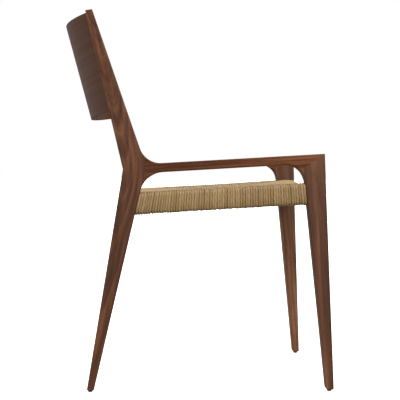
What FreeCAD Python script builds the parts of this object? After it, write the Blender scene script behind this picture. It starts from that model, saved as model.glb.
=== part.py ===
import FreeCAD, Part
import math
import os
import Sketcher

# Dining chair with low side rails, a bent back panel and a woven cord seat.
# Millimetres. +Z up, the sitter faces -Y, the sitter's left is +X.
# The origin is on the floor, in the middle of the chair's footprint box.

SIZES = {
    # side frame seen from the side: y towards the back, z up
    "foot_level": 4.5,
    "rear_foot_back_y": 234.4, "rear_foot_front_y": 219.5,
    "bend_y": 160.5, "bend_z": 472.8,
    "post_top_back_y": 242.5, "post_top_back_z": 809.0,
    "post_top_front_y": 228.0, "post_top_front_z": 811.5,
    "front_foot_back_y": -278.2, "front_foot_front_y": -294.6,
    "crook_y": 113.1, "armpit_y": 114.3, "knee_y": -224.9,
    "corner_y": -271.8, "corner_z": 509.5,
    # low side rail: heights at y = 0, and its drop per millimetre towards the back
    "arm_top_z": 491.75, "arm_under_z": 472.7, "slope": 0.0655,
    # round sweeps where the side rail runs into the post and the front leg
    "crook_radius": 46.0, "armpit_radius": 53.0, "knee_radius": 40.0, "bend_radius": 8.0,
    # joints in the side frame
    "seam_y": 113.8, "mitre_end_y": -205.7, "mitre_end_z": 464.4,
    # side frame seen from the front: a flat board that leans in as it rises
    "floor_outer_x": 261.5, "board_thick": 28.0, "lean": 0.0331,
    "edge_radius": 3.0, "foot_chamfer": 2.0,
    # wooden rails hidden in the weave
    "rail_outer_x": 242.5, "rail_inner_x": 223.5, "rail_top_z": 425.0, "rail_under_z": 392.5,
    "front_rail_front_y": -270.0, "front_rail_back_y": -244.0,
    "front_rail_top_z": 441.0, "front_rail_middle_z": 431.0, "front_rail_under_z": 409.0,
    "rear_rail_front_y": 142.0, "rear_rail_back_y": 164.0,
    "rear_rail_top_z": 414.5, "rear_rail_under_z": 384.5,
    # outer shape of the woven cord
    "weave_outer_x": 248.0, "weave_inner_x": 217.5,
    "weave_top_z": 430.5, "weave_under_z": 387.0,
    "weave_front_y": -275.5, "weave_back_y": 169.5,
    "dish_z": 425.5, "dish_slope": 0.046, "dish_depth": 10.0,
    # card stuffing between the two layers of cord
    "stuffing_front_y": -236.0, "stuffing_rear_y": 128.0, "stuffing_side_x": 214.0,
    "stuffing_ridge_x": 32.0, "stuffing_ridge_y": -54.0, "stuffing_gap": 2.0,
    "stuffing_thick": 8.0, "stuffing_z": 404.0,
    # bent back panel, leaning back by the tilt, measured up from its lower ends
    "panel_tilt": 14.0, "panel_end_y": 190.7, "panel_end_z": 598.4,
    "panel_height": 214.0, "panel_crown": 5.5, "panel_thick": 11.0,
    "panel_chord": 213.0, "panel_half": 219.5, "panel_sag_low": 46.3, "panel_sag_high": 52.2,
    # joinery
    "dowel_radius": 4.0, "dowel_length": 30.0, "dowel_rise": 8.0,
    "tenon_height": 22.0, "tenon_thick": 8.0, "tenon_length": 30.0, "tenon_z": 475.0,
    "spline_length": 24.0, "spline_width": 14.0, "spline_thick": 5.0,
    "spline_y": -245.5, "spline_z": 491.5,
    # feet and small metal
    "glide_radius": 5.0, "glide_round": 1.2,
    "nail_radius": 1.0, "nail_length": 18.0, "nail_head_radius": 3.0, "nail_head": 1.0,
    "nail_cover": 1.5,
    "front_foot_y": -286.2, "rear_foot_y": 226.6,
    "tack_radius": 0.9, "tack_length": 10.0, "tack_head_radius": 2.2, "tack_head": 0.8,
    "tack_front_y": -120.0, "tack_back_y": 20.0, "tack_drop": 6.0,
    # room for cuts that run right through
    "reach": 400.0,
}
SIDES = {"left": 1, "right": -1}

# how edges are picked for rounding
MOSTLY_ALONG = 0.9
NEAR_CORNER = 2.0
ABOVE_FOOT = 1.0
HAIR = 0.01

doc = FreeCAD.newDocument("woven_seat_chair")
sheet = doc.addObject("Spreadsheet::Sheet", "sizes")
for row, (alias, value) in enumerate(SIZES.items(), start=1):
    sheet.set(f"A{row}", alias)
    sheet.set(f"B{row}", str(value))
    sheet.setAlias(f"B{row}", alias)
doc.recompute()

nodes = []


def size(word):
    """Expression for one cell of the sheet."""
    return f"sizes.{word}"


def spot(y_word, z_word):
    """A corner given by two cells."""
    return size(y_word), size(z_word)


def number(expression):
    """The present value of an expression, as a plain number."""
    value = sheet.evalExpression(str(expression))
    return float(getattr(value, "Value", value))


def node(obj, label):
    """Mark an object as a finished sub-part and name it."""
    obj.Label = label
    nodes.append(obj)
    return obj


# ---------------------------------------------------------------- lines shared by neighbours

def sloped(height, y):
    """Height at y of a line that drops towards the back, from its height at y = 0."""
    return f"({height} - {size('slope')} * ({y}))"


def meet(height, leg_edge):
    """Where such a line crosses a leg's edge, given by two corners."""
    (y0, z0), (y1, z1) = leg_edge
    lean = f"(({y1} - {y0}) / ({z1} - {z0}))"
    y = f"(({y0} + {lean} * ({height} - {z0})) / (1 + {lean} * {size('slope')}))"
    return y, sloped(height, y)


def board_x(z, depth="0"):
    """Distance from the middle of the chair to the side frame, depth in from its outer face."""
    return f"({size('floor_outer_x')} - {size('lean')} * ({z}) - ({depth}))"


def inner_x(z):
    return board_x(z, size("board_thick"))


def middle_x(z):
    return board_x(z, f"{size('board_thick')} / 2")


CROOK = (size("crook_y"), sloped(size("arm_top_z"), size("crook_y")))
ARMPIT = (size("armpit_y"), sloped(size("arm_under_z"), size("armpit_y")))
KNEE = (size("knee_y"), sloped(size("arm_under_z"), size("knee_y")))
FRONT_LEG_BACK = (spot("front_foot_back_y", "foot_level"), KNEE)
REAR_LEG_FRONT = (spot("rear_foot_front_y", "foot_level"), ARMPIT)


# ---------------------------------------------------------------- sketches and solids

def new_body(name):
    return doc.addObject("PartDesign::Body", name)


def new_sketch(body, plane, name, offset="0", rise="0", turn=None):
    """Sketch on one of the body's origin planes.

    It is moved by offset along the plane's normal and by rise along its second axis, then
    turned about its first axis.
    """
    sketch = body.newObject("Sketcher::SketchObject", name)
    support = [feature for feature in body.Origin.OriginFeatures if feature.Role == plane][0]
    sketch.AttachmentSupport = [(support, "")]
    sketch.MapMode = "FlatFace"
    sketch.setExpression("AttachmentOffset.Base.z", offset)
    sketch.setExpression("AttachmentOffset.Base.y", rise)
    if turn:
        sketch.AttachmentOffset = FreeCAD.Placement(
            FreeCAD.Vector(), FreeCAD.Rotation(FreeCAD.Vector(1, 0, 0), number(turn)))
        sketch.setExpression("AttachmentOffset.Rotation.Angle", turn)
    return sketch


def bind(sketch, kind, *where, to):
    """One driving constraint whose value is an expression."""
    index = sketch.addConstraint(Sketcher.Constraint(kind, *where, number(to)))
    sketch.setExpression(f"Constraints[{index}]", str(to))


def draw_polygon(sketch, corners):
    """Closed outline through corners, each fixed by two expressions."""
    first = sketch.GeometryCount
    count = len(corners)
    points = [FreeCAD.Vector(number(across), number(up), 0) for across, up in corners]
    for i in range(count):
        sketch.addGeometry(Part.LineSegment(points[i], points[(i + 1) % count]), False)
    for i in range(count):
        after = first + (i + 1) % count
        sketch.addConstraint(Sketcher.Constraint("Coincident", first + i, 2, after, 1))
    for i, (across, up) in enumerate(corners):
        bind(sketch, "DistanceX", -1, 1, first + i, 1, to=across)
        bind(sketch, "DistanceY", -1, 1, first + i, 1, to=up)


def draw_circle(sketch, across, up, radius):
    """Full circle with its centre and radius bound."""
    centre = FreeCAD.Vector(number(across), number(up), 0)
    circle = Part.Circle(centre, FreeCAD.Vector(0, 0, 1), number(radius))
    index = sketch.addGeometry(circle, False)
    bind(sketch, "DistanceX", -1, 1, index, 3, to=across)
    bind(sketch, "DistanceY", -1, 1, index, 3, to=up)
    bind(sketch, "Radius", index, to=radius)


def draw_band(sketch, centre_up, outer, inner, half):
    """Strip between two arcs about one centre on the upright axis, cut off at both sides."""
    middle = FreeCAD.Vector(0, number(centre_up), 0)
    across = number(half)
    arcs = []
    for radius in (outer, inner):
        reach_angle = math.acos(across / number(radius))
        circle = Part.Circle(middle, FreeCAD.Vector(0, 0, 1), number(radius))
        arc = Part.ArcOfCircle(circle, reach_angle, math.pi - reach_angle)
        index = sketch.addGeometry(arc, False)
        bind(sketch, "DistanceX", -1, 1, index, 3, to="0")
        bind(sketch, "DistanceY", -1, 1, index, 3, to=centre_up)
        bind(sketch, "Radius", index, to=radius)
        bind(sketch, "DistanceX", -1, 1, index, 1, to=half)
        bind(sketch, "DistanceX", -1, 1, index, 2, to=f"-{half}")
        arcs.append(index)
    for end in (1, 2):
        corners = [sketch.getPoint(index, end) for index in arcs]
        line = sketch.addGeometry(Part.LineSegment(*corners), False)
        for line_end, index in enumerate(arcs, start=1):
            sketch.addConstraint(Sketcher.Constraint("Coincident", line, line_end, index, end))


def pad(body, sketch, length, backwards=False):
    feature = body.newObject("PartDesign::Pad", f"{sketch.Name}_pad")
    feature.Profile = sketch
    feature.Reversed = backwards
    feature.setExpression("Length", length)
    doc.recompute()
    return feature


def pocket(body, sketch):
    """Cut that runs through the body on both sides of its sketch."""
    before = body.Shape.Volume
    feature = body.newObject("PartDesign::Pocket", f"{sketch.Name}_pocket")
    feature.Profile = sketch
    feature.Midplane = True
    feature.setExpression("Length", f"4 * {size('reach')}")
    doc.recompute()
    if body.Shape.Volume >= before:
        raise RuntimeError(f"{feature.Name} cuts nothing")
    return feature


def soften(body, kind, setting, word, chosen):
    """Fillet or chamfer on every edge of the body for which chosen(edge) is true."""
    base = body.Tip
    names = [f"Edge{i}" for i, edge in enumerate(base.Shape.Edges, start=1) if chosen(edge)]
    feature = body.newObject(kind, f"{body.Name}_{word}")
    feature.Base = (base, names)
    feature.setExpression(setting, size(word))
    doc.recompute()
    return feature


def peg(name, radius, length, base, axis):
    """Round bar along x, y or z, starting at base."""
    turn = {"x": FreeCAD.Rotation(FreeCAD.Vector(0, 1, 0), 90),
            "y": FreeCAD.Rotation(FreeCAD.Vector(1, 0, 0), -90),
            "z": FreeCAD.Rotation()}[axis]
    bar = doc.addObject("Part::Cylinder", name)
    bar.setExpression("Radius", radius)
    bar.setExpression("Height", length)
    bar.Placement = FreeCAD.Placement(FreeCAD.Vector(), turn)
    for letter, expression in zip("xyz", base):
        bar.setExpression(f"Placement.Base.{letter}", expression)
    return bar


def bundle(name, parts):
    """Several separate solids held together as one object."""
    together = doc.addObject("Part::Compound", name)
    together.Links = parts
    return together


def cut(base, tools, label):
    """Sub-part made by taking the tools' solids away from a blank."""
    result = doc.addObject("Part::Cut", label)
    result.Base = base
    result.Tool = bundle(f"{label}_cutters", tools)
    return node(result, label)


# ---------------------------------------------------------------- side frames

def runs_through(edge):
    """True for an edge that runs through the board from its inner to its outer face."""
    return abs(edge.tangentAt(edge.FirstParameter).x) > MOSTLY_ALONG


def at_corner(corner):
    """Picker for the edge that runs through the board at one corner of the outline."""
    y, z = number(corner[0]), number(corner[1])

    def chosen(edge):
        middle = edge.CenterOfMass
        return runs_through(edge) and math.hypot(middle.y - y, middle.z - z) < NEAR_CORNER
    return chosen


def on_outline(edge):
    """Picker for the long arrises on the board's two faces."""
    lowest = number(size("foot_level")) + ABOVE_FOOT
    return not runs_through(edge) and edge.BoundBox.ZMax > lowest


def round_the_foot(edge):
    """Picker for the edges round the sawn end of a foot."""
    return edge.BoundBox.ZMax < number(size("foot_level")) + HAIR


def side_frame(side_name, side):
    """One glued-up side: rear leg with post, side rail and front leg in a flat board."""
    body = new_body(f"side_frame_{side_name}")
    outline = new_sketch(body, "YZ_Plane", f"{body.Name}_outline",
                         offset=f"{side} * {inner_x('0')}",
                         turn=f"{-side} * atan({size('lean')})")
    draw_polygon(outline, [
        (size("rear_foot_back_y"), "0"),
        spot("bend_y", "bend_z"),
        spot("post_top_back_y", "post_top_back_z"),
        spot("post_top_front_y", "post_top_front_z"),
        CROOK,
        spot("corner_y", "corner_z"),
        (size("front_foot_front_y"), "0"),
        (size("front_foot_back_y"), "0"),
        KNEE,
        ARMPIT,
        (size("rear_foot_front_y"), "0"),
    ])
    pad(body, outline, size("board_thick"), backwards=side < 0)
    for corner, word in ((CROOK, "crook"), (ARMPIT, "armpit"), (KNEE, "knee"),
                         (spot("bend_y", "bend_z"), "bend")):
        soften(body, "PartDesign::Fillet", "Radius", f"{word}_radius", at_corner(corner))
    under = new_sketch(body, "XZ_Plane", f"{body.Name}_under")
    far = size("reach")
    level = size("foot_level")
    draw_polygon(under, [(f"-{far}", level), (far, level), (far, f"-{far}"),
                         (f"-{far}", f"-{far}")])
    pocket(body, under)
    soften(body, "PartDesign::Fillet", "Radius", "edge_radius", on_outline)
    soften(body, "PartDesign::Chamfer", "Size", "foot_chamfer", round_the_foot)
    return body


def joint_regions():
    """Solids that hold everything behind the post's joint and in front of the mitre."""
    behind = doc.addObject("Part::Box", "behind_the_seam")
    far = size("reach")
    for setting, length in (("Length", f"2 * {far}"), ("Width", far), ("Height", f"4 * {far}")):
        behind.setExpression(setting, length)
    for letter, place in (("x", f"-{far}"), ("y", size("seam_y")), ("z", f"-{far}")):
        behind.setExpression(f"Placement.Base.{letter}", place)
    ahead = new_body("ahead_of_the_mitre")
    region = new_sketch(ahead, "YZ_Plane", "mitre_region", offset=f"-{far}")
    past_corner = (f"2 * {size('corner_y')} - {size('mitre_end_y')}",
                   f"2 * {size('corner_z')} - {size('mitre_end_z')}")
    draw_polygon(region, [
        past_corner,
        spot("mitre_end_y", "mitre_end_z"),
        (size("mitre_end_y"), f"-{far}"),
        (f"-{far}", f"-{far}"),
        (f"-{far}", past_corner[1]),
    ])
    pad(ahead, region, f"2 * {far}")
    return behind, ahead


def share(frame, region, name):
    common = doc.addObject("Part::Common", name)
    common.Base = frame
    common.Tool = region
    return common


def arm_tenon(side_name, side):
    """Loose tenon across the upright joint between post and side rail."""
    tenon = doc.addObject("Part::Box", f"arm_tenon_{side_name}")
    thick, length, height = size("tenon_thick"), size("tenon_length"), size("tenon_height")
    for setting, value in (("Length", thick), ("Width", length), ("Height", height)):
        tenon.setExpression(setting, value)
    middle = f"{side} * {middle_x(size('tenon_z'))}"
    tenon.setExpression("Placement.Base.x", f"{middle} - {thick} / 2")
    tenon.setExpression("Placement.Base.y", f"{size('seam_y')} - {length} / 2")
    tenon.setExpression("Placement.Base.z", f"{size('tenon_z')} - {height} / 2")
    return node(tenon, tenon.Name)


def mitre_spline(side_name, side):
    """Flat spline across the mitre between side rail and front leg."""
    body = new_body(f"mitre_spline_{side_name}")
    thick = size("spline_thick")
    low_x = f"{side} * {middle_x(size('spline_z'))} - {thick} / 2"
    sketch = new_sketch(body, "YZ_Plane", f"{body.Name}_outline", offset=low_x)
    run_y = f"({size('mitre_end_y')} - {size('corner_y')})"
    run_z = f"({size('mitre_end_z')} - {size('corner_z')})"
    run = f"sqrt({run_y}^2 + {run_z}^2)"
    corners = []
    for along, over in ((-1, -1), (1, -1), (1, 1), (-1, 1)):
        half_long = f"{along} * {size('spline_length')} / 2 / {run}"
        half_wide = f"{over} * {size('spline_width')} / 2 / {run}"
        corners.append((
            f"{size('spline_y')} + {half_long} * {run_y} - {half_wide} * {run_z}",
            f"{size('spline_z')} + {half_long} * {run_z} + {half_wide} * {run_y}"))
    draw_polygon(sketch, corners)
    pad(body, sketch, thick)
    return node(body, body.Name)


# ---------------------------------------------------------------- rails inside the weave

def side_seat_rail(side_name, side):
    """Straight rail from the front leg to the rear leg, its ends cut to the legs' slants."""
    body = new_body(f"seat_rail_{side_name}_blank")
    low_x = size("rail_inner_x") if side > 0 else f"-{size('rail_outer_x')}"
    sketch = new_sketch(body, "YZ_Plane", f"{body.Name}_outline", offset=low_x)
    draw_polygon(sketch, [
        meet(size("rail_top_z"), FRONT_LEG_BACK),
        meet(size("rail_top_z"), REAR_LEG_FRONT),
        meet(size("rail_under_z"), REAR_LEG_FRONT),
        meet(size("rail_under_z"), FRONT_LEG_BACK),
    ])
    pad(body, sketch, f"{size('rail_outer_x')} - {size('rail_inner_x')}")
    return body


def cross_seat_rail(place):
    """Rail between the two front or the two rear legs."""
    body = new_body(f"seat_rail_{place}_blank")
    front, back = size(f"{place}_rail_front_y"), size(f"{place}_rail_back_y")
    under, top = size(f"{place}_rail_under_z"), size(f"{place}_rail_top_z")
    sketch = new_sketch(body, "XZ_Plane", f"{body.Name}_outline", offset=f"-{back}")
    draw_polygon(sketch, [
        (f"-{inner_x(under)}", under),
        (inner_x(under), under),
        (inner_x(top), top),
        (f"-{inner_x(top)}", top),
    ])
    pad(body, sketch, f"{back} - {front}")
    return body


def dip(body, place):
    """Hollow the top of a cross rail in one long arc between its ends."""
    sketch = new_sketch(body, "XZ_Plane", f"{body.Name}_dip")
    low, top = size(f"{place}_rail_middle_z"), size(f"{place}_rail_top_z")
    sag = f"({top} - {low})"
    radius = f"(({inner_x(top)}^2 + {sag}^2) / (2 * {sag}))"
    draw_circle(sketch, "0", f"{low} + {radius}", radius)
    pocket(body, sketch)


def side_rail_dowels(side_name, side):
    """Two dowels at each end of a side seat rail."""
    middle = f"(({size('rail_top_z')} + {size('rail_under_z')}) / 2)"
    x = f"{side} * ({size('rail_outer_x')} + {size('rail_inner_x')}) / 2"
    pegs = []
    for end, leg_edge in (("front", FRONT_LEG_BACK), ("rear", REAR_LEG_FRONT)):
        y, z = meet(middle, leg_edge)
        for way in (-1, 1):
            base = (x, f"{y} - {size('dowel_length')} / 2", f"{z} + {way} * {size('dowel_rise')}")
            name = f"dowel_{side_name}_{end}_{len(pegs)}"
            pegs.append(peg(name, size("dowel_radius"), size("dowel_length"), base, "y"))
    return node(bundle(f"dowels_{side_name}_rail", pegs), f"dowels_{side_name}_rail")


def cross_rail_dowels(place):
    """Two dowels at each end of the front or rear seat rail."""
    y = f"({size(f'{place}_rail_front_y')} + {size(f'{place}_rail_back_y')}) / 2"
    middle = f"(({size(f'{place}_rail_under_z')} + {size(f'{place}_rail_top_z')}) / 2)"
    pegs = []
    for side in SIDES.values():
        for way in (-1, 1):
            z = f"{middle} + {way} * {size('dowel_rise')}"
            base = (f"{side} * {inner_x(z)} - {size('dowel_length')} / 2", y, z)
            name = f"dowel_{place}_{len(pegs)}"
            pegs.append(peg(name, size("dowel_radius"), size("dowel_length"), base, "x"))
    return node(bundle(f"dowels_{place}_rail", pegs), f"dowels_{place}_rail")


def cord_tacks():
    """Tacks that hold the cord's ends to the inner faces of the side seat rails."""
    tacks = []
    middle = f"(({size('rail_top_z')} + {size('rail_under_z')}) / 2)"
    inner, head = size("rail_inner_x"), size("tack_head")
    for side_name, side in SIDES.items():
        head_x = f"{inner} - {head}" if side > 0 else f"-{inner}"
        shank_x = inner if side > 0 else f"-{inner} - {size('tack_length')}"
        for place in ("front", "back"):
            y = size(f"tack_{place}_y")
            z = f"{sloped(middle, y)} - {size('tack_drop')}"
            name = f"tack_{side_name}_{place}"
            fused = doc.addObject("Part::Fuse", name)
            fused.Base = peg(f"{name}_head", size("tack_head_radius"), head, (head_x, y, z), "x")
            fused.Tool = peg(f"{name}_shank", size("tack_radius"), size("tack_length"),
                             (shank_x, y, z), "x")
            tacks.append(fused)
    return node(bundle("cord_tacks", tacks), "cord_tacks")


# ---------------------------------------------------------------- woven seat

def weave_blank():
    """Outer shape of the cord: two wrapped side rails and the field between the legs."""
    body = new_body("woven_seat_blank")
    top, under = size("weave_top_z"), size("weave_under_z")
    front, back = size("weave_front_y"), size("weave_back_y")
    field = new_sketch(body, "YZ_Plane", "weave_field", offset=f"-{size('weave_inner_x')}")
    draw_polygon(field, [
        (front, sloped(top, front)),
        (back, sloped(top, back)),
        (back, sloped(under, back)),
        (front, sloped(under, front)),
    ])
    pad(body, field, f"2 * {size('weave_inner_x')}")
    dish = new_sketch(body, "XZ_Plane", "weave_dish", turn=f"-atan({size('dish_slope')})")
    depth = size("dish_depth")
    radius = f"(({size('weave_inner_x')}^2 + {depth}^2) / (2 * {depth}))"
    draw_circle(dish, "0", f"{size('dish_z')} + {radius}", radius)
    pocket(body, dish)
    for side_name, side in SIDES.items():
        low_x = size("weave_inner_x") if side > 0 else f"-{size('weave_outer_x')}"
        wing = new_sketch(body, "YZ_Plane", f"weave_wing_{side_name}", offset=low_x)
        draw_polygon(wing, [
            meet(top, FRONT_LEG_BACK),
            meet(top, REAR_LEG_FRONT),
            meet(under, REAR_LEG_FRONT),
            meet(under, FRONT_LEG_BACK),
        ])
        pad(body, wing, f"{size('weave_outer_x')} - {size('weave_inner_x')}")
    return body


def stuffing(label, corners):
    """Flat piece of card between the two layers of cord, lying with the seat's slope."""
    body = new_body(label)
    sketch = new_sketch(body, "XY_Plane", f"{label}_outline")
    draw_polygon(sketch, corners)
    pad(body, sketch, size("stuffing_thick"))
    level = FreeCAD.Vector(0, 0, number(size("stuffing_z")))
    drop = -math.degrees(math.atan(number(size("slope"))))
    body.Placement = FreeCAD.Placement(level, FreeCAD.Rotation(FreeCAD.Vector(1, 0, 0), drop))
    body.setExpression("Placement.Base.z", size("stuffing_z"))
    body.setExpression("Placement.Rotation.Angle", f"-atan({size('slope')})")
    return node(body, label)


def all_stuffing():
    """Four cards whose edges follow the mitred weave, a small gap apart."""
    side_x, ridge_x = size("stuffing_side_x"), size("stuffing_ridge_x")
    ridge_y, gap = size("stuffing_ridge_y"), size("stuffing_gap")
    cards = []
    for place, way in (("front", "-"), ("rear", "+")):
        edge = size(f"stuffing_{place}_y")
        near = f"({ridge_y} {way} {gap})"
        cards.append(stuffing(f"seat_stuffing_{place}", [
            (f"-{side_x} + {gap}", edge),
            (f"{side_x} - {gap}", edge),
            (ridge_x, near),
            (f"-{ridge_x}", near),
        ]))
    for side_name, side in SIDES.items():
        cards.append(stuffing(f"seat_stuffing_{side_name}", [
            (f"{side} * {side_x}", f"{size('stuffing_front_y')} + {gap}"),
            (f"{side} * {side_x}", f"{size('stuffing_rear_y')} - {gap}"),
            (f"{side} * ({ridge_x} + {gap})", ridge_y),
        ]))
    return cards


# ---------------------------------------------------------------- back panel

def panel_section(body, name, height, sag, tilt):
    """Curved strip across the back, square to the panel's lean."""
    sketch = new_sketch(body, "XY_Plane", name,
                        offset=f"{size('panel_end_z')} + {height} * cos({tilt})",
                        rise=f"{size('panel_end_y')} + {height} * sin({tilt})",
                        turn=f"-{tilt}")
    outer = f"(({size('panel_chord')}^2 + {sag}^2) / (2 * {sag}))"
    inner = f"({outer} - {size('panel_thick')})"
    draw_band(sketch, f"({sag} - {outer})", outer, inner, size("panel_half"))
    return sketch


def back_panel():
    """Bent panel, a little more curved at the top, with a slightly crowned top edge."""
    body = new_body("back_panel")
    tilt = f"({size('panel_tilt')} * 1 deg)"
    crest = f"({size('panel_height')} + {size('panel_crown')})"
    low = panel_section(body, "panel_low", "0", size("panel_sag_low"), tilt)
    high = panel_section(body, "panel_high", crest, size("panel_sag_high"), tilt)
    loft = body.newObject("PartDesign::AdditiveLoft", "panel_loft")
    loft.Profile = low
    loft.Sections = [high]
    loft.Ruled = True
    doc.recompute()
    crown = new_sketch(body, "XZ_Plane", "panel_crown_cut", offset=f"-{size('panel_end_y')}",
                       rise=size("panel_end_z"), turn=f"-{tilt}")
    rise = size("panel_crown")
    radius = f"(({size('panel_chord')}^2 + {rise}^2) / (2 * {rise}))"
    draw_band(crown, f"({crest} - {radius})", f"({radius} + {size('board_thick')})", radius,
              f"({size('panel_half')} + {size('panel_thick')})")
    pocket(body, crown)
    return node(body, "back_panel")


# ---------------------------------------------------------------- feet

def foot_centre(place, side):
    level = size("foot_level")
    return f"{side} * {middle_x(level)}", size(f"{place}_foot_y")


def glide_nail(name, centre):
    """Nail moulded into a glide: a flat head and a shank that goes up into the leg."""
    head_z = size("nail_cover")
    fused = doc.addObject("Part::Fuse", name)
    fused.Base = peg(f"{name}_head", size("nail_head_radius"), size("nail_head"),
                     (*centre, head_z), "z")
    fused.Tool = peg(f"{name}_shank", size("nail_radius"), size("nail_length"),
                     (*centre, f"{head_z} + {size('nail_head')}"), "z")
    return fused


def foot_glide(name, centre, nail):
    """Plastic pad under a foot, rounded where it meets the floor."""
    body = new_body(f"{name}_blank")
    sketch = new_sketch(body, "XY_Plane", f"{name}_outline")
    draw_circle(sketch, *centre, size("glide_radius"))
    pad(body, sketch, size("foot_level"))
    soften(body, "PartDesign::Fillet", "Radius", "glide_round",
           lambda edge: edge.BoundBox.ZMax < HAIR)
    return cut(body, [nail], name)


# ---------------------------------------------------------------- assembly

panel = back_panel()
behind, ahead = joint_regions()
cross_dowels = {place: cross_rail_dowels(place) for place in ("front", "rear")}
tacks = cord_tacks()
nails = []
seat_fill = [tacks]

for side_name, side in SIDES.items():
    frame = side_frame(side_name, side)
    tenon = arm_tenon(side_name, side)
    spline = mitre_spline(side_name, side)
    dowels = side_rail_dowels(side_name, side)
    foot_nails = {}
    for place in ("front", "rear"):
        name = f"foot_glide_{place}_{side_name}"
        centre = foot_centre(place, side)
        foot_nails[place] = glide_nail(f"{name}_nail", centre)
        foot_glide(name, centre, foot_nails[place])
    nails += foot_nails.values()

    post = share(frame, behind, f"rear_leg_{side_name}_blank")
    cut(post, [tenon, dowels, cross_dowels["rear"], panel, foot_nails["rear"]],
        f"rear_leg_{side_name}")
    leg = share(frame, ahead, f"front_leg_{side_name}_blank")
    cut(leg, [spline, dowels, cross_dowels["front"], foot_nails["front"]],
        f"front_leg_{side_name}")
    rail = doc.addObject("Part::Cut", f"side_rail_{side_name}_blank")
    rail.Base = frame
    rail.Tool = bundle(f"{rail.Name}_ends", [behind, ahead])
    cut(rail, [tenon, spline], f"side_rail_{side_name}")

    seat_rail = side_seat_rail(side_name, side)
    cut(seat_rail, [dowels, tacks], f"seat_rail_{side_name}")
    seat_fill.append(seat_rail)

for place, dowels in cross_dowels.items():
    seat_rail = cross_seat_rail(place)
    if place == "front":
        dip(seat_rail, place)
    cut(seat_rail, [dowels], f"seat_rail_{place}")
    seat_fill.append(seat_rail)

node(bundle("glide_nails", nails), "glide_nails")
cut(weave_blank(), seat_fill + all_stuffing(), "woven_seat")
doc.recompute()

# ---------------------------------------------------------------- checks and files

for obj in doc.Objects:
    if "Invalid" in obj.State or "Error" in obj.State:
        raise RuntimeError(f"{obj.Name} did not compute: {obj.State}")
for obj in nodes:
    if obj.Shape.isNull() or not obj.Shape.isValid():
        raise RuntimeError(f"{obj.Label} has no valid shape")

os.makedirs("parts", exist_ok=True)
for obj in nodes:
    obj.Shape.exportStep(f"parts/{obj.Label}.step")
    print(obj.Label, len(obj.Shape.Solids), round(obj.Shape.Volume))
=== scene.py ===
"""Side chair with low side rails: its finishes and its woven cord seat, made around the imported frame."""

import math
from collections import namedtuple

import bpy
from mathutils import Matrix, Vector


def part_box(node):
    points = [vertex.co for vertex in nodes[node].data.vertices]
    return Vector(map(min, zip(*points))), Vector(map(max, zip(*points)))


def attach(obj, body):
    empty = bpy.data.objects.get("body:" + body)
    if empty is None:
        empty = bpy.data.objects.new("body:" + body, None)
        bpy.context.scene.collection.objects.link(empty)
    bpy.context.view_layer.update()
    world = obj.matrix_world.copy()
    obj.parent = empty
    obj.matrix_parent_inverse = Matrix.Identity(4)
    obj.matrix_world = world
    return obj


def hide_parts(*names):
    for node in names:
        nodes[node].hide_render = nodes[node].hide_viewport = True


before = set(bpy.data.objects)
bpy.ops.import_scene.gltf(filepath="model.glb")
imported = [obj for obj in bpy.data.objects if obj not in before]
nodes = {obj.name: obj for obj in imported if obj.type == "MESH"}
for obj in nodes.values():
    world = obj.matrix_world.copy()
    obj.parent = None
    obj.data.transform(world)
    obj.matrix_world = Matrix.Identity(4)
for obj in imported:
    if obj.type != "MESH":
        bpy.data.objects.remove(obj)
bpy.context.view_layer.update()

MM = 0.001


def put_in_scene(name, data):
    thing = bpy.data.objects.new(name, data)
    bpy.context.scene.collection.objects.link(thing)
    return thing


# ---------------------------------------------------------------- writing node trees

class Wire:
    """A node's output that takes arithmetic: each operator adds the Math node that works it out."""

    def __init__(self, tree, socket):
        self.tree = tree
        self.socket = socket

    def math(self, operation, *others):
        operands = dict(enumerate((self,) + others))
        return self.tree.add("ShaderNodeMath", {"operation": operation}, operands)

    def reflected(self, operation, other):
        return self.tree.add("ShaderNodeMath", {"operation": operation}, {0: other, 1: self})

    def __add__(self, other):
        return self.math("ADD", other)

    def __sub__(self, other):
        return self.math("SUBTRACT", other)

    def __mul__(self, other):
        return self.math("MULTIPLY", other)

    def __truediv__(self, other):
        return self.math("DIVIDE", other)

    def __pow__(self, other):
        return self.math("POWER", other)

    def __rsub__(self, other):
        return self.reflected("SUBTRACT", other)

    def __rtruediv__(self, other):
        return self.reflected("DIVIDE", other)

    __radd__ = __add__
    __rmul__ = __mul__

    def within(self, low, high):
        """0 below low, 1 above high, smooth between; low may be the larger of the two."""
        return self.tree.add("ShaderNodeMapRange", {"interpolation_type": "SMOOTHSTEP"},
                             {"Value": self, "From Min": low, "From Max": high})

    def other(self, output):
        """Another output of the same node."""
        return Wire(self.tree, self.socket.node.outputs[output])


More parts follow.
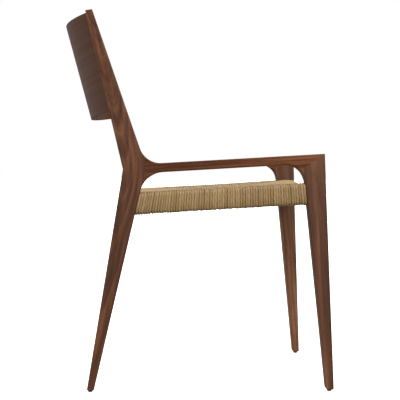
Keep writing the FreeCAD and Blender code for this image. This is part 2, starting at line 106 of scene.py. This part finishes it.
class Tree:
    """A node tree that is being written."""

    def __init__(self, tree):
        self.tree = tree

    def add(self, kind, settings=None, sockets=None, out=0):
        """Adds a node: its settings first, then the values or links of its sockets."""
        node = self.tree.nodes.new(kind)
        for name, setting in (settings or {}).items():
            if name == "stops":
                self.set_stops(node.color_ramp, setting)
            else:
                setattr(node, name, setting)
        for key, value in (sockets or {}).items():
            if isinstance(value, Wire):
                self.tree.links.new(value.socket, node.inputs[key])
            else:
                node.inputs[key].default_value = value
        return Wire(self, node.outputs[out]) if node.outputs else node

    @staticmethod
    def set_stops(ramp, stops):
        while len(ramp.elements) < len(stops):
            ramp.elements.new(1.0)
        for element, (place, colour) in zip(ramp.elements, stops):
            element.position = place
            element.color = (*colour, 1.0)

    def vector(self, x=0.0, y=0.0, z=0.0):
        return self.add("ShaderNodeCombineXYZ", None, {0: x, 1: y, 2: z})

    def split(self, vector):
        parts = self.add("ShaderNodeSeparateXYZ", None, {0: vector})
        return parts, parts.other(1), parts.other(2)

    def mix(self, share, low, high):
        """A colour between low and high."""
        low, high = (c if isinstance(c, Wire) else (*c, 1.0) for c in (low, high))
        return self.add("ShaderNodeMix", {"data_type": "RGBA"}, {0: share, 6: low, 7: high}, out=2)

    def tint(self, colour, shade):
        """A colour made lighter or darker by a number."""
        grey = self.vector(shade, shade, shade)
        return self.add("ShaderNodeMix", {"data_type": "RGBA", "blend_type": "MULTIPLY"},
                        {0: 1.0, 6: colour, 7: grey}, out=2)

    def noise(self, vector, scale=1.0, detail=2.0, roughness=0.5, distortion=0.0):
        return self.add("ShaderNodeTexNoise", None, {
            "Vector": vector, "Scale": scale, "Detail": detail,
            "Roughness": roughness, "Distortion": distortion,
        })

    def store(self, geometry, name, kind, value):
        """Keeps a value at each point under a name that a material can read."""
        return self.add("GeometryNodeStoreNamedAttribute", {"data_type": kind, "domain": "POINT"}, {
            "Geometry": geometry, "Name": name, "Value": value,
        })


def new_material(name):
    """A material with its tree and its Principled shader."""
    material = bpy.data.materials.new(name)
    material.use_nodes = True
    shader = material.node_tree.nodes["Principled BSDF"]
    return material, Tree(material.node_tree), shader


def finish_shader(tree, shader, plain, varying):
    """Sets the values that are the same all over, and links the ones that vary."""
    for name, value in plain.items():
        shader.inputs[name].default_value = value
    for name, wire in varying.items():
        tree.tree.links.new(wire.socket, shader.inputs[name])


def bump(tree, height, distance):
    return tree.add("ShaderNodeBump", None, {"Height": height, "Distance": distance, "Strength": 1.0})


# ---------------------------------------------------------------- wood

# which way the grain of each piece runs
REAR_LEG_BEND_HEIGHT = 472.8 * MM
POST_RAKE = 0.232
REAR_LEG_RAKE = 0.190
FRONT_LEG_RAKE = 0.095
BEND_SOFTNESS = 30.0 * MM
SIDE_RAIL_SLOPE = 0.0655
PANEL_TILT = math.radians(14.0)

# the trunk that the walnut was cut from, and how deep the open grain is
RING_WIDTH = 5.5 * MM
TRUNK_SWAY = 12.0 * MM
DRIFT_SOFTNESS = 50.0 * MM
WALNUT_RELIEF = 0.12 * MM
BEECH_RELIEF = 0.10 * MM

# how much each layer counts in the figure, and where the dark, middle and light tones lie in it
YEARS_SHARE = 0.36
STREAKS_SHARE = 0.32
CLOUDS_SHARE = 0.20
FIBRES_SHARE = 0.12
DARK_FIGURE = 0.37
MEAN_FIGURE = 0.50
LIGHT_FIGURE = 0.63

Heart = namedtuple("Heart", "across through drift drift_from")
Paler = namedtuple("Paler", "start end amount")
EVEN = Paler(start=0.0, end=1.0, amount=0.0)


def grain_along_rear_leg(tree, x, y, z):
    """Across the leg, through it and along it, bent where the leg bends."""
    rise = z - REAR_LEG_BEND_HEIGHT
    offset = (rise * POST_RAKE).math("SMOOTH_MAX", rise * -REAR_LEG_RAKE, BEND_SOFTNESS)
    return y - offset, x, z


def grain_along_front_leg(tree, x, y, z):
    return y - z * FRONT_LEG_RAKE, x, z


def grain_along_side_rail(tree, x, y, z):
    return z + y * SIDE_RAIL_SLOPE, x, y


def grain_across_panel(tree, x, y, z):
    """Veneer: the same figure through the thickness, running from end to end."""
    height = z * math.cos(PANEL_TILT) + y * math.sin(PANEL_TILT)
    return height, x * 0.0, x


def grain_along_x(tree, x, y, z):
    return z, y, x


def walnut(name, grain, tones, heart, paler=EVEN, contrast=1.0, shine=0.25, scale=1.0):
    """Oiled walnut: growth rings cut along a slowly tapering trunk, brown streaks, fine fibres, open pores.

    heart is where the middle of the trunk lies across and through the piece, by how much it drifts sideways
    along the piece, and from where on. paler is where the colour starts to lighten along the piece, where
    it has lightened, and by how much; on the far front leg this lightening is painted light.
    """
    material, tree, shader = new_material(name)
    place = tree.add("ShaderNodeTexCoord", None, None, out="Object")
    across, through, along = grain(tree, *tree.split(place))

    def stretched(share):
        """Places whose pattern is drawn out along the grain."""
        return tree.vector(across, through, along * share)

    sway = tree.noise(tree.vector(across * 2.0, through * 2.0, along), scale=4.0) - 0.5
    side = across - heart.across + sway * TRUNK_SWAY
    drift = (along - heart.drift_from).math("SMOOTH_MAX", 0.0, DRIFT_SOFTNESS) * heart.drift
    depth = through - heart.through + drift
    radius = (side * side + depth * depth).math("SQRT")
    years = tree.add("ShaderNodeTexNoise", {"noise_dimensions": "1D"}, {
        "W": radius / (RING_WIDTH * scale), "Scale": 1.0, "Detail": 3.0, "Roughness": 0.62,
    })
    streaks = tree.noise(stretched(0.040), scale=150.0 / scale, detail=3.0, roughness=0.6, distortion=0.25)
    clouds = tree.noise(stretched(0.25), scale=26.0)
    fibres = tree.noise(stretched(0.025), scale=1100.0, detail=3.0, roughness=0.65)
    pores = tree.noise(stretched(0.05), scale=2400.0, detail=1.0).within(0.61, 0.70)
    figure = years * YEARS_SHARE + streaks * STREAKS_SHARE + clouds * CLOUDS_SHARE + fibres * FIBRES_SHARE
    stops = list(zip((DARK_FIGURE, MEAN_FIGURE, LIGHT_FIGURE), tones))
    colour = tree.add("ShaderNodeValToRGB", {"stops": stops},
                      {"Fac": (figure - MEAN_FIGURE) * contrast + MEAN_FIGURE})
    lightness = 1.0 + along.within(paler.start, paler.end) * paler.amount
    colour = tree.tint(colour, lightness * (1.0 - pores * 0.25))
    height = fibres * 0.5 + years * 0.3 - pores * 0.9
    finish_shader(tree, shader, {"Specular IOR Level": shine}, {
        "Base Color": colour,
        "Roughness": 0.46 + fibres * 0.12 + pores * 0.15,
        "Normal": bump(tree, height, WALNUT_RELIEF),
    })
    return material


def beech(name, grain):
    """Pale rail wood with the short dark flecks of beech."""
    material, tree, shader = new_material(name)
    place = tree.add("ShaderNodeTexCoord", None, None, out="Object")
    across, through, along = grain(tree, *tree.split(place))
    broad = tree.noise(tree.vector(across, through, along * 0.05), scale=90.0, detail=3.0)
    flecks = tree.noise(tree.vector(across, through, along * 0.15), scale=900.0, detail=1.0)
    flecks = flecks.within(0.62, 0.72)
    colour = tree.mix(broad, low=(0.46, 0.28, 0.15), high=(0.62, 0.42, 0.25))
    finish_shader(tree, shader, {}, {
        "Base Color": tree.tint(colour, 1.0 - flecks * 0.35),
        "Roughness": 0.55 + broad * 0.1,
        "Normal": bump(tree, flecks, BEECH_RELIEF),
    })
    return material


# ---------------------------------------------------------------- other finishes

STRAND_FACTS = "strand_facts"
RISE = "rise"
PROFILE_FACTS = "profile_facts"
CORD_PLIES = 3.0
CORD_LAY = 15.0 * MM
CORD_RELIEF = 0.55 * MM
CARD_RELIEF = 0.10 * MM
PLASTIC_RELIEF = 0.04 * MM
STEEL_RELIEF = 0.03 * MM
FULL_TURN = 2.0 * math.pi

# the cord's tones, from dark to light, and how much each cause counts in them; the last share is painted
# shade that darkens the cord towards the underside
CORD_COLOURS = [
    (0.25, (0.235, 0.142, 0.052)),
    (0.42, (0.345, 0.222, 0.096)),
    (0.58, (0.435, 0.295, 0.140)),
    (0.78, (0.560, 0.415, 0.240)),
]
STRAND_SHARE = 0.18
PATCH_SHARE = 0.26
CORD_FIBRE_SHARE = 0.56
UNDERSIDE_SHADE_SHARE = 0.11


def paper_cord():
    """Three-ply twisted paper cord: slanting plies, fine fibres, strands of slightly different tone, and
    painted shade in the ply grooves and towards the underside.
    """
    material, tree, shader = new_material("paper_cord")
    facts = tree.add("ShaderNodeAttribute", {"attribute_name": STRAND_FACTS}, None, out="Vector")
    length, tone = tree.split(facts)[:2]
    rise = tree.add("ShaderNodeAttribute", {"attribute_name": RISE}, None, out="Fac")
    facts = tree.add("ShaderNodeAttribute", {"attribute_name": PROFILE_FACTS}, None, out="Vector")
    round_x, round_y = tree.split(facts)[:2]
    angle = round_y.math("ARCTAN2", round_x)
    wander = tree.noise(tree.vector(length, tone * 9.0), scale=30.0, detail=1.0)
    turn = angle * CORD_PLIES + (length / CORD_LAY + wander * 0.8) * FULL_TURN
    ply = turn.math("SINE") * 0.5 + 0.5
    # painted shade: the colour is darkened in the grooves between the plies
    painted_groove_shade = (1.0 - ply) ** 3.0
    place = tree.add("ShaderNodeTexCoord", None, None, out="Object")
    fibre_place = tree.vector(angle * 1.2 + length * 60.0, length * 14.0, tone * 37.0)
    fibres = tree.noise(fibre_place, scale=6.0, detail=3.0, roughness=0.7)
    patches = tree.noise(tree.vector(length, tone * 31.0), scale=45.0, roughness=0.6)
    blotch = tree.noise(place, scale=38.0)
    # painted shade: the cord grows darker towards the underside of the wrap, where less light falls
    low = rise.within(0.3, -0.9)
    share = tone * STRAND_SHARE + patches * PATCH_SHARE + fibres * CORD_FIBRE_SHARE - low * UNDERSIDE_SHADE_SHARE
    colour = tree.add("ShaderNodeValToRGB", {"stops": CORD_COLOURS}, {"Fac": share})
    # the grooves get painted shade; the blotches are the cord's own uneven tone
    shade = (1.0 - painted_groove_shade * 0.20) * (0.93 + blotch * 0.14)
    height = ply * 0.6 + fibres * 0.40
    plain = {"Specular IOR Level": 0.2, "Sheen Weight": 0.08, "Sheen Roughness": 0.6}
    finish_shader(tree, shader, plain, {
        "Base Color": tree.tint(colour, shade),
        "Roughness": 0.66 + fibres * 0.2,
        "Normal": bump(tree, height, CORD_RELIEF),
    })
    return material


def card():
    """Grey-brown packing card."""
    material, tree, shader = new_material("packing_card")
    place = tree.add("ShaderNodeTexCoord", None, None, out="Object")
    flecks = tree.noise(place, scale=700.0, detail=3.0, roughness=0.7)
    clouds = tree.noise(place, scale=25.0)
    colour = tree.mix(flecks * 0.6 + clouds * 0.4, low=(0.16, 0.11, 0.065), high=(0.33, 0.24, 0.15))
    finish_shader(tree, shader, {}, {
        "Base Color": colour,
        "Roughness": 0.8 + flecks * 0.15,
        "Normal": bump(tree, flecks, CARD_RELIEF),
    })
    return material


def glide_plastic():
    """Dark brown moulded plastic, scuffed underneath."""
    material, tree, shader = new_material("glide_plastic")
    place = tree.add("ShaderNodeTexCoord", None, None, out="Object")
    grain = tree.noise(place, scale=2200.0)
    scuffs = tree.noise(place, scale=300.0, detail=3.0, roughness=0.7).within(0.5, 0.75)
    colour = tree.mix(scuffs, low=(0.030, 0.022, 0.019), high=(0.075, 0.058, 0.050))
    finish_shader(tree, shader, {}, {
        "Base Color": colour,
        "Roughness": 0.38 + scuffs * 0.3,
        "Normal": bump(tree, grain, PLASTIC_RELIEF),
    })
    return material


def steel():
    """Bright drawn steel of nails and tacks."""
    material, tree, shader = new_material("nail_steel")
    place = tree.add("ShaderNodeTexCoord", None, None, out="Object")
    scratches = tree.noise(place, scale=1800.0, detail=3.0, roughness=0.7)
    finish_shader(tree, shader, {"Metallic": 1.0}, {
        "Base Color": tree.mix(scratches, low=(0.42, 0.40, 0.37), high=(0.62, 0.60, 0.57)),
        "Roughness": 0.28 + scratches * 0.25,
        "Normal": bump(tree, scratches, STEEL_RELIEF),
    })
    return material


def give(material, *names):
    """Puts a finish on CAD nodes."""
    for name in names:
        for slot in nodes[name].material_slots:
            slot.material = material


# each wood's tones: its dark, middle and light figure
REAR_LEG_TONES = ((0.042, 0.0116, 0.0034), (0.093, 0.0300, 0.0096), (0.186, 0.0710, 0.0285))
FRONT_LEG_TONES = ((0.044, 0.0132, 0.0043), (0.097, 0.0335, 0.0122), (0.190, 0.0780, 0.0350))
# the far front leg's tones are lighter: painted light standing in for the light on its inner face
FAR_LEG_PAINTED_LIGHT_TONES = ((0.043, 0.0152, 0.0063), (0.095, 0.0385, 0.0175), (0.186, 0.0890, 0.0470))
RAIL_TONES = ((0.040, 0.0078, 0.0008), (0.089, 0.0228, 0.0038), (0.182, 0.0700, 0.0270))
PANEL_TONES = ((0.060, 0.0205, 0.0080), (0.092, 0.0350, 0.0155), (0.130, 0.0560, 0.0275))

REAR_LEG_PALER = Paler(start=0.58, end=0.72, amount=0.25)
SIDE_RAIL_PALER = Paler(start=-0.03, end=-0.13, amount=0.30)
FRONT_LEG_WOOD = {
    # the far (left) front leg grows much lighter towards its foot: painted light
    "left": (FAR_LEG_PAINTED_LIGHT_TONES, Paler(start=0.44, end=0.28, amount=1.20), 0.95),
    "right": (FRONT_LEG_TONES, Paler(start=0.34, end=0.06, amount=0.20), 0.90),
}
PANEL_HEART = Heart(across=0.60, through=0.02, drift=0.01, drift_from=-0.3)
LEFT_SHIFT = 11.0 * MM


def finish_the_frame():
    for side, way, shift in (("left", 1.0, LEFT_SHIFT), ("right", -1.0, 0.0)):
        heart = Heart(across=0.150 + shift, through=way * 0.198, drift=way * -0.065, drift_from=0.50)
        give(walnut(f"walnut_rear_leg_{side}", grain_along_rear_leg, REAR_LEG_TONES, heart,
                    REAR_LEG_PALER, contrast=1.3),
             f"rear_leg_{side}")
        heart = Heart(across=-0.315 - shift, through=way * 0.185, drift=way * 0.045, drift_from=0.0)
        tones, paler, contrast = FRONT_LEG_WOOD[side]
        give(walnut(f"walnut_front_leg_{side}", grain_along_front_leg, tones, heart, paler, contrast),
             f"front_leg_{side}")
        heart = Heart(across=0.452 + shift, through=way * 0.205, drift=way * 0.025, drift_from=-0.3)
        give(walnut(f"walnut_side_rail_{side}", grain_along_side_rail, RAIL_TONES, heart,
                    SIDE_RAIL_PALER, contrast=1.1, shine=0.18),
             f"side_rail_{side}")
        give(beech(f"beech_{side}", grain_along_side_rail),
             f"seat_rail_{side}", f"dowels_{side}_rail", f"arm_tenon_{side}", f"mitre_spline_{side}")
    give(walnut("walnut_panel", grain_across_panel, PANEL_TONES, PANEL_HEART,
                contrast=0.55, shine=0.1, scale=2.5),
         "back_panel")
    give(beech("beech_cross_rails", grain_along_x),
         "seat_rail_front", "seat_rail_rear", "dowels_front_rail", "dowels_rear_rail")
    give(card(), *(name for name in nodes if name.startswith("seat_stuffing")))
    give(glide_plastic(), *(name for name in nodes if name.startswith("foot_glide")))
    give(steel(), "glide_nails", "cord_tacks")


# ---------------------------------------------------------------- woven seat

# the cord and its way round a rail
CORD = 5.5 * MM
CORD_SWELL = 1.01
CORD_SIDES = 10
CORNER_ROUND = 4.6 * MM
CORNER_STEPS = 5
RUN_STEPS = 9
WALL_STEPS = 5
MITRE_DIVE = 5.0 * MM
SLACK_UNDER = 1.2 * MM
MITRE_END = ((0.9, 1.0), (0.2, 0.55), (-0.5, 0.15), (-1.4, 0.0))
SIDE_WRAP_WIDTH = 30.5 * MM
END_MARGIN = 0.5 * MM

# how the seat dips in the middle, and swells a little beside its edges
DISH_MIDDLE = 425.5 * MM
DISH_SLOPE = 0.046
DISH_DEPTH = 10.0 * MM
DISH_BLEND = 4.0 * MM
PILLOW = 2.0 * MM
PILLOW_TREMOR = 0.8 * MM
PILLOW_START = 0.15

# how far one strand may differ from the next
LOWEST_GIRTH = 0.95
HIGHEST_GIRTH = 1.05
GIRTH_TREMOR = 0.08
PLACE_PLAY = 0.07
CROWDING = 0.4
CROWDING_STEP = 0.31
WANDER = 0.16
LEAN_FADE = 4.0
LEAST_HANG = -0.3 * MM
MOST_HANG = 0.9 * MM

# the salts keep one strand's random numbers apart
FIRST_SEED = 11
SEED_STEP = 20
PLACE_SALT = 1
GIRTH_SALT = 2
TONE_SALT = 3
HANG_SALT = 4
WANDER_SALT = 5
PILLOW_SALT = 9
GIRTH_TREMOR_SALT = 13

STRAND_SIZES = (
    "Cord", "First", "Last", "First lean", "Last lean", "Corner run", "Ridge",
    "Turn", "Distance", "Middle height", "Half height", "Dish half",
)


def side_wrap_corners():
    """Where the side wraps meet the legs, brought level with the middle of the chair.

    The places towards the back of the front top, front under, rear top and rear under corners, and then
    the heights of the top and the under side.
    """
    high_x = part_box("woven_seat")[1].x
    places = [v.co for v in nodes["woven_seat"].data.vertices if v.co.x > high_x - END_MARGIN]
    level = [(p.y, p.z + SIDE_RAIL_SLOPE * p.y) for p in places]
    middle = sum(z for y, z in level) / len(level)
    tops = sorted(y for y, z in level if z > middle)
    unders = sorted(y for y, z in level if z < middle)
    top = max(z for y, z in level)
    under = min(z for y, z in level)
    return tops[0], unders[0], tops[-1], unders[-1], top, under


def strand_path(half_height):
    """One strand as three numbers a point: distance in from the outer face, share of the run, height.

    It starts below the mitre, runs out over the rail, down its side, and back in underneath.
    """
    near = CORD / 2
    level = half_height - near
    arc = [math.radians(90.0 * step / CORNER_STEPS) for step in range(CORNER_STEPS + 1)]
    top = [(CORD * ahead, 1.0, level - MITRE_DIVE * dive) for ahead, dive in MITRE_END]
    top += [(0.0, 1.0 - step / RUN_STEPS, level) for step in range(1, RUN_STEPS)]
    top += [(near + CORNER_ROUND * (1 - math.sin(a)), 0.0, level - CORNER_ROUND * (1 - math.cos(a)))
            for a in arc]
    wall = level - CORNER_ROUND
    side = [(near, 0.0, wall * (1 - 2 * step / WALL_STEPS)) for step in range(1, WALL_STEPS)]
    under = [(offset, share, -height - SLACK_UNDER) for offset, share, height in reversed(top)]
    return top + side + under


class Chance:
    """What differs from strand to strand, the same each time for the same seed."""

    def __init__(self, tree, seed):
        self.tree = tree
        self.seed = seed
        self.number = tree.add("GeometryNodeCurveOfPoint", None, None, out="Curve Index")
        self.point = tree.add("GeometryNodeInputIndex")

    def draw(self, low, high, salt):
        """One number for a whole strand."""
        return self.tree.add("FunctionNodeRandomValue", {"data_type": "FLOAT"}, {
            "Min": low, "Max": high, "ID": self.number, "Seed": self.seed + salt,
        }, out=1)

    def tremor(self, size, salt):
        """A slow change along each strand."""
        phase = self.tree.vector(self.point * 0.37, self.number * 0.9, self.seed + salt)
        return self.tree.noise(phase, scale=size) - 0.5


def add_inputs(group):
    """The sizes and choices that one field of strands is given."""
    kinds = {"Geometry": "NodeSocketGeometry", "Strands": "NodeSocketInt"}
    kinds.update({name: "NodeSocketFloat" for name in STRAND_SIZES})
    kinds.update({"Seed": "NodeSocketInt", "Finish": "NodeSocketMaterial"})
    for name, kind in kinds.items():
        group.interface.new_socket(name, in_out="INPUT", socket_type=kind)


def places_along_rail(tree, given, chance, height):
    """How far along its rail each point lies, and how far its strand runs in to the mitre."""
    crowding = tree.noise(tree.vector(chance.number * CROWDING_STEP, given.other("Seed"))) - 0.5
    shift = chance.draw(-PLACE_PLAY, PLACE_PLAY, PLACE_SALT) + crowding * CROWDING
    place = (chance.number + 0.5 + shift) / given.other("Strands")
    first = given.other("First")
    last = given.other("Last")
    lean = given.other("First lean") * (1.0 - place) ** LEAN_FADE
    lean = lean + given.other("Last lean") * place ** LEAN_FADE
    level_place = first + (last - first) * place
    wander = chance.tremor(0.9, WANDER_SALT) * given.other("Cord") * WANDER
    inside = (level_place - first).math("MINIMUM", last - level_place)
    run = inside.math("MINIMUM", given.other("Ridge")) + given.other("Corner run")
    return level_place + lean * height + wander, run


def heights(given, chance, share, height, x, y):
    """Height of each point: the seat's slope, its dish, a slight swell over the rails, and some slack."""
    half_height = given.other("Half height")
    slope_height = given.other("Middle height") - y * SIDE_RAIL_SLOPE
    pillow = (share * math.pi).math("SINE") * PILLOW
    crown = (pillow + chance.tremor(1.3, PILLOW_SALT) * PILLOW_TREMOR) * share.within(0.0, PILLOW_START)
    flat_top = slope_height + half_height
    dish = DISH_MIDDLE - y * DISH_SLOPE + (x / given.other("Dish half")) ** 2.0 * DISH_DEPTH
    dip = flat_top - flat_top.math("SMOOTH_MIN", dish, DISH_BLEND)
    wall = half_height - given.other("Cord") * 0.5 - CORNER_ROUND
    up_the_wall = ((height / wall + 1.0) * 0.5).math("MINIMUM", 1.0).math("MAXIMUM", 0.0)
    hang = chance.draw(LEAST_HANG, MOST_HANG, HANG_SALT) * (1.0 - up_the_wall)
    outwards = height.math("GREATER_THAN", 0.0) * 2.0 - 1.0
    return slope_height + height - dip * up_the_wall - hang + crown * outwards


def strand_tree():
    """Geometry nodes that lay strands side by side round a rail, each running in to the mitre."""
    group = bpy.data.node_groups.new("cord_strands", "GeometryNodeTree")
    add_inputs(group)
    group.interface.new_socket("Geometry", in_out="OUTPUT", socket_type="NodeSocketGeometry")
    tree = Tree(group)
    given = tree.add("NodeGroupInput")
    chance = Chance(tree, given.other("Seed"))
    where = tree.add("GeometryNodeInputPosition")
    offset, share, height = tree.split(where)
    cord = given.other("Cord")

    strand = tree.add("GeometryNodeMeshToCurve", None, {"Mesh": given.other("Geometry")})
    starts = tree.add("GeometryNodeMeshLine", None, {
        "Count": given.other("Strands"), "Offset": (0.0, 0.0, 0.0),
    })
    copies = tree.add("GeometryNodeInstanceOnPoints", None, {"Points": starts, "Instance": strand})
    strands = tree.add("GeometryNodeRealizeInstances", None, {"Geometry": copies})
    strands = tree.store(strands, RISE, "FLOAT", height / given.other("Half height"))

    rail_place, run = places_along_rail(tree, given, chance, height)
    round_the_corner = cord * 0.5 + CORNER_ROUND
    past_the_corner = share.math("GREATER_THAN", 0.001)
    inward = offset + share * (run - round_the_corner) + past_the_corner * round_the_corner
    out_from_centre = inward - given.other("Distance")
    cosine = given.other("Turn").math("COSINE")
    sine = given.other("Turn").math("SINE")
    x = rail_place * cosine - out_from_centre * sine
    y = rail_place * sine + out_from_centre * cosine
    z = heights(given, chance, share, height, x, y)
    placed = tree.add("GeometryNodeSetPosition", None, {
        "Geometry": strands, "Position": tree.vector(x, y, z),
    })

    girth = chance.draw(LOWEST_GIRTH, HIGHEST_GIRTH, GIRTH_SALT)
    girth = girth + chance.tremor(2.1, GIRTH_TREMOR_SALT) * GIRTH_TREMOR
    placed = tree.add("GeometryNodeSetCurveRadius", None, {"Curve": placed, "Radius": girth})
    length = tree.add("GeometryNodeSplineParameter", None, None, out="Length")
    facts = tree.vector(length, chance.draw(0.0, 1.0, TONE_SALT))
    placed = tree.store(placed, STRAND_FACTS, "FLOAT_VECTOR", facts)
    circle = tree.add("GeometryNodeCurvePrimitiveCircle", None, {
        "Resolution": CORD_SIDES, "Radius": cord * 0.5,
    })
    circle = tree.store(circle, PROFILE_FACTS, "FLOAT_VECTOR", where)
    tube = tree.add("GeometryNodeCurveToMesh", None, {
        "Curve": placed, "Profile Curve": circle, "Fill Caps": True,
    })
    tube = tree.add("GeometryNodeSetShadeSmooth", None, {"Geometry": tube})
    tube = tree.add("GeometryNodeRealizeInstances", None, {"Geometry": tube})
    tube = tree.add("GeometryNodeSetMaterial", None, {
        "Geometry": tube, "Material": given.other("Finish"),
    })
    tree.add("NodeGroupOutput", None, {"Geometry": tube})
    return group


def polyline(name, points):
    """A mesh of points joined in a row."""
    mesh = bpy.data.meshes.new(name)
    mesh.from_pydata(points, [(i, i + 1) for i in range(len(points) - 1)], [])
    return put_in_scene(name, mesh)


def made_by(group, maker, name, values):
    """Runs a geometry node tree on an object and keeps the result as a plain mesh piece."""
    modifier = maker.modifiers.new("strands", "NODES")
    modifier.node_group = group
    identifiers = {item.name: item.identifier for item in group.interface.items_tree
                   if item.in_out == "INPUT"}
    for label, value in values.items():
        modifier[identifiers[label]] = value
    bpy.context.view_layer.update()
    depsgraph = bpy.context.evaluated_depsgraph_get()
    mesh = bpy.data.meshes.new_from_object(maker.evaluated_get(depsgraph))
    mesh.name = name
    bpy.data.objects.remove(maker)
    return put_in_scene(name, mesh)


def weave_the_seat():
    low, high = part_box("woven_seat")
    front_top, front_under, rear_top, rear_under, top, under = side_wrap_corners()
    half_height = (top - under) / 2
    field_half = high.x - SIDE_WRAP_WIDTH
    front_line = (front_top + front_under) / 2
    rear_line = (rear_top + rear_under) / 2
    front_lean = (front_top - front_under) / (2 * half_height)
    rear_lean = (rear_top - rear_under) / (2 * half_height)
    fields = {
        "front": dict(first=-field_half, last=field_half, lean=(0.0, 0.0), distance=-low.y,
                      corner=front_line - low.y, turn=0.0),
        "rear": dict(first=-field_half, last=field_half, lean=(0.0, 0.0), distance=high.y,
                     corner=high.y - rear_line, turn=math.pi),
        "left": dict(first=front_line, last=rear_line, lean=(front_lean, rear_lean), distance=high.x,
                     corner=SIDE_WRAP_WIDTH, turn=math.pi / 2),
        "right": dict(first=-rear_line, last=-front_line, lean=(-rear_lean, -front_lean),
                      distance=high.x, corner=SIDE_WRAP_WIDTH, turn=-math.pi / 2),
    }
    cord = paper_cord()
    group = strand_tree()
    path = strand_path(half_height)
    for number, (place, field) in enumerate(fields.items()):
        piece = made_by(group, polyline(f"strand_path_{place}", path), f"cord_weave_{place}", {
            "Strands": round((field["last"] - field["first"]) / CORD),
            "Cord": CORD * CORD_SWELL,
            "First": field["first"],
            "Last": field["last"],
            "First lean": field["lean"][0],
            "Last lean": field["lean"][1],
            "Corner run": field["corner"],
            "Ridge": (rear_line - front_line) / 2,
            "Turn": field["turn"],
            "Distance": field["distance"],
            "Middle height": (top + under) / 2,
            "Half height": half_height,
            "Dish half": field_half,
            "Seed": FIRST_SEED + SEED_STEP * number,
            "Finish": cord,
        })
        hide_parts("woven_seat")
        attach(piece, "root")


# ---------------------------------------------------------------- studio

CAMERA_PLACE = Vector((-2.6346, 0.1490, 0.4810))
CAMERA_YAW = math.radians(-3.66)
CAMERA_PITCH = math.radians(-1.72)
CAMERA_ROLL = math.radians(0.49)
CAMERA_LENS = 101.2
SENSOR_WIDTH = 36.0
FLOOR_REACH = 40.0
FLOOR_GLOW = 0.85
ROOM_ABOVE = 1.05
ROOM_BELOW = 0.30
ROOM_REARWARD = 0.3
OVERHEAD_HEADING = Vector((0.25, 0.2, -1.0))
OVERHEAD_STRENGTH = 1.2
OVERHEAD_SOFTNESS = math.radians(60.0)
SIDE_LIGHT_PLACE = Vector((-3.3, -1.2, 1.6))
SIDE_LIGHT_AIM = Vector((0.0, 0.0, 0.35))
SIDE_LIGHT_WIDTH = 2.2
SIDE_LIGHT_POWER = 38.0
WHITE = (1.0, 1.0, 1.0, 1.0)


def set_camera():
    data = bpy.data.cameras.new("camera")
    data.lens = CAMERA_LENS
    data.sensor_width = SENSOR_WIDTH
    camera = put_in_scene("camera", data)
    turn = Matrix.Rotation(CAMERA_YAW - math.pi / 2, 4, "Z")
    tip = Matrix.Rotation(CAMERA_PITCH + math.pi / 2, 4, "X")
    roll = Matrix.Rotation(CAMERA_ROLL, 4, "Z")
    camera.matrix_world = Matrix.Translation(CAMERA_PLACE) @ turn @ tip @ roll
    bpy.context.scene.camera = camera


def set_floor():
    """A pale floor that doesn't colour the chair with its own glow."""
    mesh = bpy.data.meshes.new("studio_floor")
    corners = [(x * FLOOR_REACH, y * FLOOR_REACH, 0.0) for x, y in ((-1, -1), (1, -1), (1, 1), (-1, 1))]
    mesh.from_pydata(corners, [], [(0, 1, 2, 3)])
    floor = put_in_scene("studio_floor", mesh)
    material, tree, shader = new_material("studio_floor")
    finish_shader(tree, shader, {
        "Base Color": (0.9, 0.9, 0.9, 1.0), "Roughness": 0.9, "Specular IOR Level": 0.1,
        "Emission Color": WHITE, "Emission Strength": FLOOR_GLOW,
    }, {})
    mesh.materials.append(material)
    floor.visible_diffuse = False
    floor.visible_glossy = False


def set_backdrop():
    """A plain white studio: the lens sees white, the chair is lit by a soft room that is darker below."""
    world = bpy.data.worlds.new("studio")
    bpy.context.scene.world = world
    world.use_nodes = True
    tree = Tree(world.node_tree)
    world.node_tree.nodes.clear()
    seen = tree.add("ShaderNodeLightPath", None, None, out="Is Camera Ray")
    heading = tree.add("ShaderNodeTexCoord", None, None, out="Generated")
    rearward, up = tree.split(heading)[1:]
    glow = up.within(-0.55, 0.7) * (ROOM_ABOVE - ROOM_BELOW) + ROOM_BELOW
    glow = glow * (1.0 + rearward * ROOM_REARWARD)
    room = tree.add("ShaderNodeBackground", None, {"Color": WHITE, "Strength": glow})
    white = tree.add("ShaderNodeBackground", None, {"Color": WHITE, "Strength": 1.0})
    mixed = tree.add("ShaderNodeMixShader", None, {0: seen, 1: room, 2: white})
    tree.add("ShaderNodeOutputWorld", None, {"Surface": mixed})


def face(lamp, heading):
    lamp.rotation_mode = "QUATERNION"
    lamp.rotation_quaternion = (-heading).to_track_quat("Z", "Y")


def set_lights():
    data = bpy.data.lights.new("overhead_light", "SUN")
    data.energy = OVERHEAD_STRENGTH
    data.angle = OVERHEAD_SOFTNESS
    face(put_in_scene("overhead_light", data), OVERHEAD_HEADING)
    data = bpy.data.lights.new("side_light", "AREA")
    data.shape = "SQUARE"
    data.size = SIDE_LIGHT_WIDTH
    data.energy = SIDE_LIGHT_POWER
    lamp = put_in_scene("side_light", data)
    lamp.location = SIDE_LIGHT_PLACE
    face(lamp, SIDE_LIGHT_AIM - SIDE_LIGHT_PLACE)


def set_studio():
    bpy.context.scene.view_settings.view_transform = "Standard"
    set_camera()
    set_floor()
    set_backdrop()
    set_lights()


# ---------------------------------------------------------------- the chair

set_studio()
finish_the_frame()
weave_the_seat()
